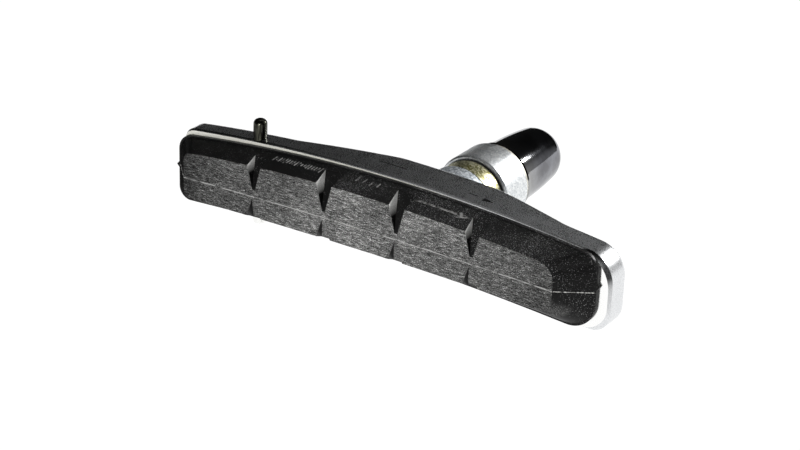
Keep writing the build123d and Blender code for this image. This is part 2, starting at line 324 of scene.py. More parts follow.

# %% [markdown]
# The gloss of the casting varies too. The rim mirrors less towards the open end, so it is bare metal only
# towards the closed end. The satin differs from pebble to pebble and, more slowly, where the tumbling was
# uneven, and fingers that push the shoe by its closed end have polished the front edge there. The pebbles
# could be modelled, but at this size a bump in the material looks the same and costs no faces. It is
# strongest on the flat top.

# %% Material: satin cast aluminium, its gloss
mottle_size = 2.2
mottle_share = 0.25
polish_starts, polish_full = 9.0, 5.0  # before the closed end
polished_share = 0.60  # how much of the roughness is left there
pebble_depth = 0.02 * MM


def dress(node, material):
    """Give a piece of the solid model its material."""
    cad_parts[node].data.materials.clear()
    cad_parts[node].data.materials.append(material)
    print(node, "->", material.name)


cleaner = add(tree, "ShaderNodeMapRange", {
    "Value": along.outputs["Result"], "From Min": 0.5, "From Max": 0.95, "To Min": 0.1, "To Max": 1.0,
})
bare_metal = add(tree, "ShaderNodeMix", {
    "Factor": ground.outputs["Value"], "A": 1.0, "B": cleaner.outputs["Result"],
}, data_type="FLOAT")
tree.links.new(bare_metal.outputs["Result"], shader.inputs["Metallic"])
mottle = add(tree, "ShaderNodeTexNoise", {"Vector": in_mm, "Scale": 1 / mottle_size, "Detail": 3.0})
speckle = add(tree, "ShaderNodeMix", {
    "Factor": mottle_share, "A": pebble.outputs["Fac"], "B": mottle.outputs["Fac"],
}, data_type="FLOAT")
satin = add(tree, "ShaderNodeMapRange", {
    "Value": speckle.outputs["Result"], "From Min": 0.3, "From Max": 0.7, "To Min": 0.22, "To Max": 0.36,
})
closed_end = add(tree, "ShaderNodeMapRange", {
    "Value": place.outputs["X"], "From Min": closed_x - polish_starts, "From Max": closed_x - polish_full,
})
handled = add(tree, "ShaderNodeMath", {
    0: front_edge.outputs["Result"], 1: closed_end.outputs["Result"],
}, operation="MULTIPLY")
polish = add(tree, "ShaderNodeMapRange", {
    "Value": handled.outputs["Value"], "To Min": 1.0, "To Max": polished_share,
})
smoothed = add(tree, "ShaderNodeMath", {
    0: satin.outputs["Result"], 1: polish.outputs["Result"],
}, operation="MULTIPLY")
tree.links.new(smoothed.outputs["Value"], shader.inputs["Roughness"])
tumbled = add(tree, "ShaderNodeMapRange", {
    "Value": facing.outputs["Z"], "From Min": 0.75, "From Max": 0.97, "To Min": 0.02, "To Max": 0.30,
})
bumps = add(tree, "ShaderNodeBump", {
    "Height": pebble.outputs["Fac"], "Strength": tumbled.outputs["Result"], "Distance": pebble_depth,
})
tree.links.new(bumps.outputs["Normal"], shader.inputs["Normal"])
dress("holder", satin_aluminium)

# %% [markdown]
# ## Black rubber for the insert
# The insert is moulded rubber. Its sides keep the smooth skin of the mould and look black, with specks of
# dust. The braking face has been rubbed, so it is grey and grainy, with fine streaks the way the rim
# travels. The floors of the lower grooves face the glowing table and get the same grey as painted light.
# The walls of the upper grooves that face the closed end are painted pale high up, a painted highlight
# that fades out lower down. All of this is one piece of rubber, so it is one material, and each zone is
# found from where the surface lies and which way it faces.

# %% Material: the zones of the rubber
face_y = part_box("pad")[0].y / MM
worn_and_lit_towards = (0, -0.94, -0.34)  # forwards and slightly downwards
worn_and_lit_depth, skin_depth = 1.8, 2.2  # behind the braking face
flange_y = -8.2  # the insert's flange lies behind this
# Painted highlight on the upper groove walls: none below the first height, full above the second.
wall_unlit_z, wall_lit_z = 2.9, 4.4  # on the walls of the grooves
black_rubber, tree, shader, in_mm = start_material("moulded black rubber, rubbed face")
normal = add(tree, "ShaderNodeTexCoord").outputs["Normal"]
place = add(tree, "ShaderNodeSeparateXYZ", {"Vector": in_mm})
facing = add(tree, "ShaderNodeSeparateXYZ", {"Vector": normal})

# Worn, and painted light: faces forwards or slightly downwards, and lies in front of the flange. The braking
# face is worn grey; the lower groove floors, which face the table, get the same grey as painted light.
down_front = add(tree, "ShaderNodeVectorMath", {0: normal, 1: worn_and_lit_towards}, operation="DOT_PRODUCT")
faces_front = add(tree, "ShaderNodeMapRange", {
    "Value": down_front.outputs["Value"], "From Min": 0.80, "From Max": 0.90,
})
lies_front = add(tree, "ShaderNodeMapRange", {
    "Value": place.outputs["Y"], "From Min": face_y + skin_depth, "From Max": face_y + worn_and_lit_depth,
})
worn_and_lit = add(tree, "ShaderNodeMath", {
    0: faces_front.outputs["Result"], 1: lies_front.outputs["Result"],
}, operation="MULTIPLY")

# Painted highlight: faces the closed end, lies in front of the flange, and lies high up
faces_along = add(tree, "ShaderNodeMapRange", {
    "Value": facing.outputs["X"], "From Min": 0.50, "From Max": 0.80,
})
lies_high = add(tree, "ShaderNodeMapRange", {
    "Value": place.outputs["Z"], "From Min": wall_unlit_z, "From Max": wall_lit_z,
})
off_flange = add(tree, "ShaderNodeMath", {0: place.outputs["Y"], 1: flange_y}, operation="LESS_THAN")
lit_wall_part = add(tree, "ShaderNodeMath", {
    0: faces_along.outputs["Result"], 1: lies_high.outputs["Result"],
}, operation="MULTIPLY")
painted_wall_light = add(tree, "ShaderNodeMath", {
    0: lit_wall_part.outputs["Value"], 1: off_flange.outputs["Value"],
}, operation="MULTIPLY")
print("braking face at y = %.2f mm" % face_y)

# %% [markdown]
# A thin line runs along the middle of the braking face, where the two halves of the mould met. It was a ridge
# once and could be modelled as one, but the rim has rubbed it flat, so it is only a thin band of colour. It
# sags towards both ends, wanders a little on its way and is broken in places.

# %% Material: the parting line of the rubber
crown_x, crown_z = -5.0, -0.45  # where the line is highest
sag_rate = 0.0005  # millimetres down for each square millimetre from the crown
wander_size, line_sway = 6.0, 0.12
line_core, line_edge = 0.03, 0.11  # half widths, of the full colour and of all of it
break_size = 1.3
off_crown = add(tree, "ShaderNodeMath", {0: place.outputs["X"], 1: crown_x}, operation="SUBTRACT")
squared = add(tree, "ShaderNodeMath", {0: off_crown.outputs["Value"], 1: 2.0}, operation="POWER")
sag = add(tree, "ShaderNodeMath", {
    0: squared.outputs["Value"], 1: sag_rate, 2: -crown_z,
}, operation="MULTIPLY_ADD")
above_line = add(tree, "ShaderNodeMath", {0: place.outputs["Z"], 1: sag.outputs["Value"]}, operation="ADD")
wander = add(tree, "ShaderNodeTexNoise", {"Vector": in_mm, "Scale": 1 / wander_size, "Detail": 2.0})
sway = add(tree, "ShaderNodeMapRange", {
    "Value": wander.outputs["Fac"], "To Min": -line_sway, "To Max": line_sway,
})
off_line = add(tree, "ShaderNodeMath", {
    0: above_line.outputs["Value"], 1: sway.outputs["Result"],
}, operation="ADD")
from_line = add(tree, "ShaderNodeMath", {0: off_line.outputs["Value"]}, operation="ABSOLUTE")
near_line = add(tree, "ShaderNodeMapRange", {
    "Value": from_line.outputs["Value"], "From Min": line_edge, "From Max": line_core,
})
broken = add(tree, "ShaderNodeTexNoise", {"Vector": in_mm, "Scale": 1 / break_size, "Detail": 3.0})
unbroken = add(tree, "ShaderNodeMapRange", {
    "Value": broken.outputs["Fac"], "From Min": 0.36, "From Max": 0.58,
})
line = add(tree, "ShaderNodeMath", {
    0: near_line.outputs["Result"], 1: unbroken.outputs["Result"],
}, operation="MULTIPLY")
line_on_face = add(tree, "ShaderNodeMath", {
    0: line.outputs["Value"], 1: worn_and_lit.outputs["Value"],
}, operation="MULTIPLY")
print("parting line: %.2f mm wide" % (2 * line_edge))

# %% [markdown]
# With the zones known, the colours are laid over each other like coats of paint: black skin with specks
# first, then the worn grey, which is painted light on the lower groove floors, the painted highlight on the
# groove walls and the parting line. The grain on the rubbed face is grit of about a tenth of a millimetre
# mixed with the streaks, and it darkens a little towards both ends. The specks lie mostly on what faces up,
# and the open end has fewer of them.

# %% Material: the coats of the rubber
grit_size, streak_size, dust_size, patch_size = 0.10, 0.085, 0.12, 7.0
streak_squeeze = 0.10  # along the shoe, so a streak is ten times as long as it is wide
streak_share = 0.46
wear_loss = 0.00008  # for each square millimetre from the crown of the parting line
wear_patches, dust_patches = 0.10, 0.30  # how strongly the slow patches vary the wear and the dust
dust_on_top = 0.08
clean_x, specked_x = -42.0, 5.0
grit = add(tree, "ShaderNodeTexNoise", {
    "Vector": in_mm, "Scale": 1 / grit_size, "Detail": 1.0, "Roughness": 0.7,
})
stretched = add(tree, "ShaderNodeMapping", {"Vector": in_mm, "Scale": (streak_squeeze, 1.0, 1.0)})
streaks = add(tree, "ShaderNodeTexNoise", {
    "Vector": stretched.outputs["Vector"], "Scale": 1 / streak_size, "Detail": 2.0,
})
grain = add(tree, "ShaderNodeMix", {
    "Factor": streak_share, "A": grit.outputs["Fac"], "B": streaks.outputs["Fac"],
}, data_type="FLOAT")
less_rubbed = add(tree, "ShaderNodeMath", {
    0: squared.outputs["Value"], 1: -wear_loss, 2: grain.outputs["Result"],
}, operation="MULTIPLY_ADD")
patches = add(tree, "ShaderNodeTexNoise", {"Vector": in_mm, "Scale": 1 / patch_size, "Detail": 1.0})
worn = add(tree, "ShaderNodeMath", {
    0: patches.outputs["Fac"], 1: wear_patches, 2: less_rubbed.outputs["Value"],
}, operation="MULTIPLY_ADD")
# Worn grey on the braking face, and painted light on the lower groove floors that face the table.
worn_and_lit_grey = add(tree, "ShaderNodeValToRGB", {"Fac": worn.outputs["Value"]}, ramp=[
    (0.44, "#101010"), (0.61, "#747473"), (0.71, "#e6e6e4"),
])

dust = add(tree, "ShaderNodeTexNoise", {"Vector": in_mm, "Scale": 1 / dust_size, "Detail": 1.0})
settled = add(tree, "ShaderNodeMath", {
    0: facing.outputs["Z"], 1: dust_on_top, 2: dust.outputs["Fac"],
}, operation="MULTIPLY_ADD")
clouded = add(tree, "ShaderNodeMath", {
    0: patches.outputs["Fac"], 1: dust_patches, 2: settled.outputs["Value"],
}, operation="MULTIPLY_ADD")
fewer = add(tree, "ShaderNodeMapRange", {
    "Value": place.outputs["X"], "From Min": clean_x, "From Max": specked_x, "To Min": -0.09, "To Max": 0.0,
})
dusting = add(tree, "ShaderNodeMath", {
    0: clouded.outputs["Value"], 1: fewer.outputs["Result"],
}, operation="ADD")
specked = add(tree, "ShaderNodeValToRGB", {"Fac": dusting.outputs["Value"]}, ramp=[
    (0.84, "#0a0a0a"), (0.97, "#a8a8a8"),
])
# Painted highlight: pale colour on the upper groove walls that face the closed end, fading out lower down.
wall_light_paint = add(tree, "ShaderNodeValToRGB", {"Fac": grit.outputs["Fac"]}, ramp=[
    (0.35, "#c6c6c4"), (0.65, "#fdfdfa"),
])

coat_1 = add(tree, "ShaderNodeMix", {
    "Factor": worn_and_lit.outputs["Value"], "A": specked.outputs["Color"], "B": worn_and_lit_grey.outputs["Color"],
}, data_type="RGBA")
coat_2 = add(tree, "ShaderNodeMix", {
    "Factor": painted_wall_light.outputs["Value"], "A": coat_1.outputs["Result"], "B": wall_light_paint.outputs["Color"],
}, data_type="RGBA")
coat_3 = add(tree, "ShaderNodeMix", {
    "Factor": line_on_face.outputs["Value"], "A": coat_2.outputs["Result"], "B": srgb("#acacaa"),
}, data_type="RGBA")
tree.links.new(coat_3.outputs["Result"], shader.inputs["Base Color"])
print("streaks: %.2f mm long" % (streak_size / streak_squeeze))

# %% [markdown]
# Gloss tells the zones of the rubber apart as much as colour does. The rubbed face has lost it, and its grain
# roughens it further as a bump. What faces the open end has dried to a dull black, and the upper side keeps
# the most shine.

# %% Material: the gloss of the rubber
grain_depth = 0.05 * MM
gloss = add(tree, "ShaderNodeMapRange", {"Value": worn_and_lit.outputs["Value"], "To Min": 0.42, "To Max": 0.80})
dried = add(tree, "ShaderNodeMapRange", {
    "Value": facing.outputs["X"], "From Min": -0.25, "From Max": -0.60, "To Min": 0.0, "To Max": 0.58,
})
dull = add(tree, "ShaderNodeMath", {
    0: gloss.outputs["Result"], 1: dried.outputs["Result"],
}, operation="ADD", use_clamp=True)
tree.links.new(dull.outputs["Value"], shader.inputs["Roughness"])
dry_end = add(tree, "ShaderNodeMapRange", {
    "Value": facing.outputs["X"], "From Min": -0.60, "From Max": -0.25, "To Min": 0.1, "To Max": 1.0,
})
upper_side = add(tree, "ShaderNodeMapRange", {
    "Value": facing.outputs["Z"], "From Min": 0.3, "From Max": 0.8, "To Min": 0.14, "To Max": 0.45,
})
sheen = add(tree, "ShaderNodeMath", {
    0: dry_end.outputs["Result"], 1: upper_side.outputs["Result"],
}, operation="MULTIPLY")
tree.links.new(sheen.outputs["Value"], shader.inputs["Specular IOR Level"])
grain_bump = add(tree, "ShaderNodeBump", {
    "Height": grain.outputs["Result"], "Strength": 0.4, "Distance": grain_depth,
})
tree.links.new(grain_bump.outputs["Normal"], shader.inputs["Normal"])
print("rubber is mixed from", len(tree.nodes), "nodes")

# %% [markdown]
# ## Softened edges for the insert
# Rubber never has a knife edge. The insert's solid does, so a welded copy of it gets a Bevel of a few
# hundredths of a millimetre, and Weighted Normal keeps its big flat faces flat. The copy takes the solid's
# place in the picture.

# %% Piece: the insert with soft edges
weld_distance = 0.0005 * MM
flat_angle = math.radians(0.5)  # faces that meet at less than this become one
edge_width = 0.07 * MM
edge_angle = math.radians(24)  # edges that turn more than this are softened
insert_mesh = bpy.data.meshes.new("rubber_insert")
work = bmesh.new()
work.from_mesh(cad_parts["pad"].data)
bmesh.ops.remove_doubles(work, verts=work.verts, dist=weld_distance)
bmesh.ops.dissolve_limit(work, angle_limit=flat_angle, verts=work.verts, edges=work.edges)
work.to_mesh(insert_mesh)
work.free()
if "custom_normal" in insert_mesh.attributes:  # these belong to the faces before welding
    insert_mesh.attributes.remove(insert_mesh.attributes["custom_normal"])
insert_mesh.materials.append(black_rubber)
insert_mesh.shade_smooth()

insert = bpy.data.objects.new("rubber_insert", insert_mesh)
scene.collection.objects.link(insert)
soft = insert.modifiers.new("soft edges", "BEVEL")
soft.width = edge_width
soft.segments = 2
soft.limit_method = "ANGLE"
soft.angle_limit = edge_angle
flat = insert.modifiers.new("flat faces", "WEIGHTED_NORMAL")
flat.keep_sharp = True
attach(insert, "root")
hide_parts("pad")
print("insert:", len(insert_mesh.polygons), "faces before its edges are softened")

# %% [markdown]
# ## Laying marks on a curved surface
# Small marks sit on two curved surfaces: raised ticks and an arrow moulded on the insert, and an arrow
# printed on the holder. Placing each corner by hand would be slow, so a Geometry Nodes tree does it. The
# marks are drawn flat, as seen from above, cut into small faces, and dropped straight down until they meet
# the surface. There they get their thickness, and a turned-over copy of the flat faces closes them
# underneath. A second tree draws a row of ticks from a count and a pitch and hands it to the same steps.

# %% Geometry Nodes: marks dropped on a surface
cut_level = 3  # how often each face is divided, so that it can follow the surface
ray_length = 20 * MM
sink_depth = 0.005 * MM  # into the surface, so that no mark floats
close_distance = 0.001 * MM


def new_tree(name, sockets):
    """An empty Geometry Nodes tree with named inputs, given as name and socket type."""
    tree = bpy.data.node_groups.new(name, "GeometryNodeTree")
    tree.is_modifier = True
    tree.interface.new_socket("Geometry", in_out="INPUT", socket_type="NodeSocketGeometry")
    for label, kind in sockets:
        tree.interface.new_socket(label, in_out="INPUT", socket_type=kind)
    tree.interface.new_socket("Geometry", in_out="OUTPUT", socket_type="NodeSocketGeometry")
    return tree, add(tree, "NodeGroupInput").outputs


def drop_and_finish(tree, given, marks):
    """The last steps of both trees: drop the flat marks, thicken, close and dress them."""
    cut = add(tree, "GeometryNodeSubdivideMesh", {"Mesh": marks, "Level": cut_level})
    surface = add(tree, "GeometryNodeObjectInfo", {"Object": given["Surface"]})
    where = add(tree, "GeometryNodeInputPosition")
    flat_place = add(tree, "ShaderNodeSeparateXYZ", {"Vector": where.outputs["Position"]})
    above = add(tree, "ShaderNodeCombineXYZ", {
        "X": flat_place.outputs["X"], "Y": flat_place.outputs["Y"], "Z": given["Drop From"],
    })
    hit = add(tree, "GeometryNodeRaycast", {
        "Target Geometry": surface.outputs["Geometry"], "Source Position": above.outputs["Vector"],
        "Ray Direction": (0, 0, -1), "Ray Length": ray_length,
    }, data_type="FLOAT")
    sunk = add(tree, "ShaderNodeVectorMath", {
        0: hit.outputs["Hit Normal"], 1: (-sink_depth,) * 3, 2: hit.outputs["Hit Position"],
    }, operation="MULTIPLY_ADD")
    laid = add(tree, "GeometryNodeSetPosition", {
        "Geometry": cut.outputs["Mesh"], "Position": sunk.outputs["Vector"],
    })
    raised = add(tree, "GeometryNodeExtrudeMesh", {
        "Mesh": laid.outputs["Geometry"], "Offset Scale": given["Thickness"], "Individual": False,
    })
    under = add(tree, "GeometryNodeFlipFaces", {"Mesh": laid.outputs["Geometry"]})
    both = add(tree, "GeometryNodeJoinGeometry")
    tree.links.new(raised.outputs["Mesh"], both.inputs["Geometry"])
    tree.links.new(under.outputs["Mesh"], both.inputs["Geometry"])
    closed = add(tree, "GeometryNodeMergeByDistance", {
        "Geometry": both.outputs["Geometry"], "Distance": close_distance,
    })
    real = add(tree, "GeometryNodeRealizeInstances", {"Geometry": closed.outputs["Geometry"]})
    done = add(tree, "GeometryNodeSetMaterial", {
        "Geometry": real.outputs["Geometry"], "Material": given["Material"],
    })
    add(tree, "NodeGroupOutput", {"Geometry": done.outputs["Geometry"]})


laying = [
    ("Surface", "NodeSocketObject"), ("Drop From", "NodeSocketFloat"), ("Thickness", "NodeSocketFloat"),
    ("Material", "NodeSocketMaterial"),
]
drawn_marks, given = new_tree("drawn marks on a surface", laying)
drop_and_finish(drawn_marks, given, given["Geometry"])

least_worn, most_worn = (1.2, 1.1, 1), (0.8, 0.45, 1)  # shares of a tick's width, length and height
tick_row, given = new_tree("row of ticks on a surface", laying + [
    ("Count", "NodeSocketInt"), ("Start", "NodeSocketVector"), ("Pitch", "NodeSocketVector"),
    ("Tick Width", "NodeSocketFloat"), ("Tick Length", "NodeSocketFloat"), ("Lean", "NodeSocketFloat"),
    ("Seed", "NodeSocketInt"),
])
points = add(tick_row, "GeometryNodeMeshLine", {
    "Count": given["Count"], "Start Location": given["Start"], "Offset": given["Pitch"],
})
bar = add(tick_row, "GeometryNodeMeshGrid", {
    "Size X": given["Tick Width"], "Size Y": given["Tick Length"], "Vertices X": 2, "Vertices Y": 3,
})
lean = add(tick_row, "ShaderNodeCombineXYZ", {"Z": given["Lean"]})
wear = add(tick_row, "FunctionNodeRandomValue", {
    "Min": most_worn, "Max": least_worn, "Seed": given["Seed"],
}, data_type="FLOAT_VECTOR")
ticks = add(tick_row, "GeometryNodeInstanceOnPoints", {
    "Points": points.outputs["Mesh"], "Instance": bar.outputs["Mesh"], "Rotation": lean.outputs["Vector"],
    "Scale": wear.outputs["Value"],
})
loose = add(tick_row, "GeometryNodeRealizeInstances", {"Geometry": ticks.outputs["Instances"]})
drop_and_finish(tick_row, given, loose.outputs["Geometry"])
print("trees:", drawn_marks.name, "and", tick_row.name)

# %% [markdown]
# A modifier with one of these trees is filled in by the names of its inputs, evaluated once, and turned into
# a plain mesh, so nothing is left to work out later.

# %% Helper: run a tree into a plain mesh
def grow(name, tree, values, start=None):
    """Add a piece: the tree's result as a plain mesh, riding on the shoe."""
    maker = bpy.data.objects.new(name + "_maker", start or bpy.data.meshes.new(name + "_start"))
    scene.collection.objects.link(maker)
    modifier = maker.modifiers.new("maker", "NODES")
    modifier.node_group = tree
    for item in tree.interface.items_tree:
        if item.in_out == "INPUT" and item.name in values:
            modifier[item.identifier] = values[item.name]
    shown = maker.evaluated_get(bpy.context.evaluated_depsgraph_get())
    mesh = bpy.data.meshes.new_from_object(shown)
    mesh.name = name
    maker.modifiers.remove(modifier)
    bpy.data.objects.remove(maker)
    piece = bpy.data.objects.new(name, mesh)
    scene.collection.objects.link(piece)
    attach(piece, "root")
    print(name + ":", len(mesh.polygons), "faces")


# %% [markdown]
# ## Raised marks on the insert
# The upper side of the insert carries small raised marks from the mould: a fine row of ticks on one block, a
# few longer ones on the next, and a plain arrow that says which way the insert is slid in. They are a tenth
# of a millimetre high and of the same rubber, painted grey in random patches as a painted highlight for the
# light their edges catch. The arrow is drawn as a flat outline and the rows come from their counts, so they
# can be changed without redrawing anything.

# %% Pieces: moulded ticks and arrow
drop_height = 12 * MM  # above the whole shoe
mark_patch_size = 0.45
highlit_marks, tree, shader, in_mm = start_material(
    "moulded marks, rubber with painted highlights", **{"Specular IOR Level": 0.3},
)
mark_patches = add(tree, "ShaderNodeTexNoise", {"Vector": in_mm, "Scale": 1 / mark_patch_size, "Detail": 3.0})
# Painted highlight: the marks are painted grey in random patches for the light their edges catch.
painted_mark_highlight = add(tree, "ShaderNodeValToRGB", {"Fac": mark_patches.outputs["Fac"]}, ramp=[
    (0.36, "#2c2c2c"), (0.62, "#a8a8a6"),
])
tree.links.new(painted_mark_highlight.outputs["Color"], shader.inputs["Base Color"])
mark_gloss = add(tree, "ShaderNodeMapRange", {"Value": mark_patches.outputs["Fac"], "To Min": 0.45, "To Max": 0.75})
tree.links.new(mark_gloss.outputs["Result"], shader.inputs["Roughness"])

on_insert = {"Surface": insert, "Drop From": drop_height, "Material": highlit_marks}
grow("moulded_ticks_fine", tick_row, {
    **on_insert, "Thickness": 0.09 * MM, "Count": 18, "Start": Vector((-23.9, -9.1, 0)) * MM,
    "Pitch": Vector((0.49, -0.01, 0)) * MM, "Tick Width": 0.16 * MM, "Tick Length": 1.0 * MM,
    "Lean": -0.35, "Seed": 4,
})
grow("moulded_ticks_long", tick_row, {
    **on_insert, "Thickness": 0.11 * MM, "Count": 4, "Start": Vector((-9.3, -8.9, 0)) * MM,
    "Pitch": Vector((1.2, -0.08, 0)) * MM, "Tick Width": 0.17 * MM, "Tick Length": 1.5 * MM,
    "Lean": -0.30, "Seed": 9,
})


def flat_faces(name, outlines):
    """A flat mesh of outlines in millimetres, each going round against the clock as seen from above."""
    corners = [(x * MM, y * MM, 0) for outline in outlines for x, y in outline]
    firsts = [sum(len(o) for o in outlines[:i]) for i in range(len(outlines))]
    mesh = bpy.data.meshes.new(name)
    mesh.from_pydata(corners, [], [range(f, f + len(o)) for f, o in zip(firsts, outlines)])
    return mesh


def bar_outline(x_from, x_to, y, width):
    """A straight stroke along the shoe."""
    return [(x_from, y - width / 2), (x_to, y - width / 2), (x_to, y + width / 2), (x_from, y + width / 2)]


arrow = flat_faces("arrow_on_insert", [
    bar_outline(1.2, 7.9, -9.5, 0.24),
    [(7.9, -10.05), (9.6, -9.5), (7.9, -8.95)],
])
grow("moulded_arrow", drawn_marks, {**on_insert, "Thickness": 0.10 * MM}, start=arrow)

# %% [markdown]
# ## Printed arrow on the holder
# The top of the holder shows which way is forwards with a thin printed arrow whose shaft is broken in the
# middle. Ink has almost no thickness, so the same tree lays it only a few hundredths of a millimetre thick.
# It is a matt black, a little uneven because the ink sinks between the pebbles of the casting.

# %% Piece: printed arrow
ink_size = 0.25
black_ink, tree, shader, in_mm = start_material("screen printed black ink", **{"Specular IOR Level": 0.2})
sunk_in = add(tree, "ShaderNodeTexNoise", {"Vector": in_mm, "Scale": 1 / ink_size, "Detail": 2.0})
ink = add(tree, "ShaderNodeValToRGB", {"Fac": sunk_in.outputs["Fac"]}, ramp=[
    (0.35, "#050505"), (0.70, "#1d1d1d"),
])
tree.links.new(ink.outputs["Color"], shader.inputs["Base Color"])
ink_gloss = add(tree, "ShaderNodeMapRange", {
    "Value": sunk_in.outputs["Fac"], "To Min": 0.55, "To Max": 0.80,
})
tree.links.new(ink_gloss.outputs["Result"], shader.inputs["Roughness"])

arrow = flat_faces("arrow_on_holder", [
    bar_outline(-9.2, -4.4, -3.85, 0.16),
    bar_outline(6.6, 8.2, -4.75, 0.16),
    [(9.2, -5.55), (11.0, -5.05), (9.2, -4.55)],
])
grow("printed_arrow", drawn_marks, {
    "Surface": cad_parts["holder"], "Drop From": drop_height, "Thickness": 0.03 * MM,
    "Material": black_ink,
}, start=arrow)

# %% [markdown]
# ## Flash at the ends of the insert
# Where the halves of the mould met, a thin ragged fin of rubber was squeezed out. On the braking face it has
# been rubbed away, and on the sloping ends it is still there. It follows a path, so it is a Geometry Nodes
# sweep: a straight line on the slope, cut into short steps, with a small round section whose radius changes
# at random from step to step. The torn edge of the fin is paler than the skin beside it.

# %% Geometry Nodes: a ragged fin along a line
fin_steps, fin_sides = 26, 6
fin, given = new_tree("ragged fin along a line", [
    ("From", "NodeSocketVector"), ("To", "NodeSocketVector"), ("Radius", "NodeSocketFloat"),
    ("Raggedness", "NodeSocketFloat"), ("Seed", "NodeSocketInt"), ("Material", "NodeSocketMaterial"),
])
path = add(fin, "GeometryNodeCurvePrimitiveLine", {"Start": given["From"], "End": given["To"]})
steps = add(fin, "GeometryNodeResampleCurve", {"Curve": path.outputs["Curve"], "Count": fin_steps})
low = add(fin, "ShaderNodeMath", {0: 1.0, 1: given["Raggedness"]}, operation="SUBTRACT")
high = add(fin, "ShaderNodeMath", {0: 1.0, 1: given["Raggedness"]}, operation="ADD")
ragged = add(fin, "FunctionNodeRandomValue", {
    "Min": low.outputs["Value"], "Max": high.outputs["Value"], "Seed": given["Seed"],
}, data_type="FLOAT")
share = ragged.outputs[1]  # the output of this node for plain numbers
section = add(fin, "GeometryNodeCurvePrimitiveCircle", {"Resolution": fin_sides, "Radius": given["Radius"]})
swept = add(fin, "GeometryNodeCurveToMesh", {
    "Curve": steps.outputs["Curve"], "Profile Curve": section.outputs["Curve"], "Scale": share,
    "Fill Caps": True,
})
whole = add(fin, "GeometryNodeRealizeInstances", {"Geometry": swept.outputs["Mesh"]})
dressed = add(fin, "GeometryNodeSetMaterial", {
    "Geometry": whole.outputs["Geometry"], "Material": given["Material"],
})
add(fin, "NodeGroupOutput", {"Geometry": dressed.outputs["Geometry"]})
print("tree:", fin.name)

# %% [markdown]
# Torn rubber scatters light, so the fins are matt and change from grey to nearly white along their edge. Each
# fin starts at the braking face, runs down its slope to the flange, and has a seed of its own.

# %% Pieces: the fins of flash
torn_size = 0.30
pale_rubber, tree, shader, in_mm = start_material("rubber flash, torn and dry", **{"Specular IOR Level": 0.2})
torn = add(tree, "ShaderNodeTexNoise", {"Vector": in_mm, "Scale": 1 / torn_size, "Detail": 3.0})
pale = add(tree, "ShaderNodeValToRGB", {"Fac": torn.outputs["Fac"]}, ramp=[
    (0.35, "#5a5a58"), (0.62, "#e0e0dc"),
])
tree.links.new(pale.outputs["Color"], shader.inputs["Base Color"])
dry = add(tree, "ShaderNodeMapRange", {"Value": torn.outputs["Fac"], "To Min": 0.60, "To Max": 0.90})
tree.links.new(dry.outputs["Result"], shader.inputs["Roughness"])

# Where each fin starts and ends, and its seed
fins = {
    "mould_flash_closed_end": ((24.62, -11.48, -0.91), (29.1, -7.92, -1.20), 3),
    "mould_flash_open_end": ((-38.99, -11.48, -1.00), (-42.4, -7.92, -1.15), 8),
}
for name, (start, end, seed) in fins.items():
    grow(name, fin, {
        "From": Vector(start) * MM, "To": Vector(end) * MM, "Radius": 0.07 * MM, "Raggedness": 0.45,
        "Seed": seed, "Material": pale_rubber,
    })

# %% [markdown]
# ## Zinc on the stack
# The spacer, the washers and the stud are turned steel with a thin coat of zinc. Zinc grows in small flat
# crystals, so it is dull but not even: each crystal, about a quarter of a millimetre across, throws the light
# its own way. A Voronoi pattern gives the crystals, noise clouds them, and fine rings from the lathe stay
# just visible. The coats differ in tint, so one loop makes them all from a short table. Where the ball
# washer sits in the cup washer, a dark line of painted shadow is laid on the ball.

# %% Materials: zinc plated steel
crystal_size, cloud_size, ring_scale = 0.24, 1.4, 0.9
tint_share, relief_share = 0.45, 0.5  # of the crystals, beside the clouds and the rings
relief_depth = 0.012 * MM
joint_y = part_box("cup_washer")[0].y / MM
joint_shade_starts, joint_shade_full = 0.80, 0.50  # before the cup washer
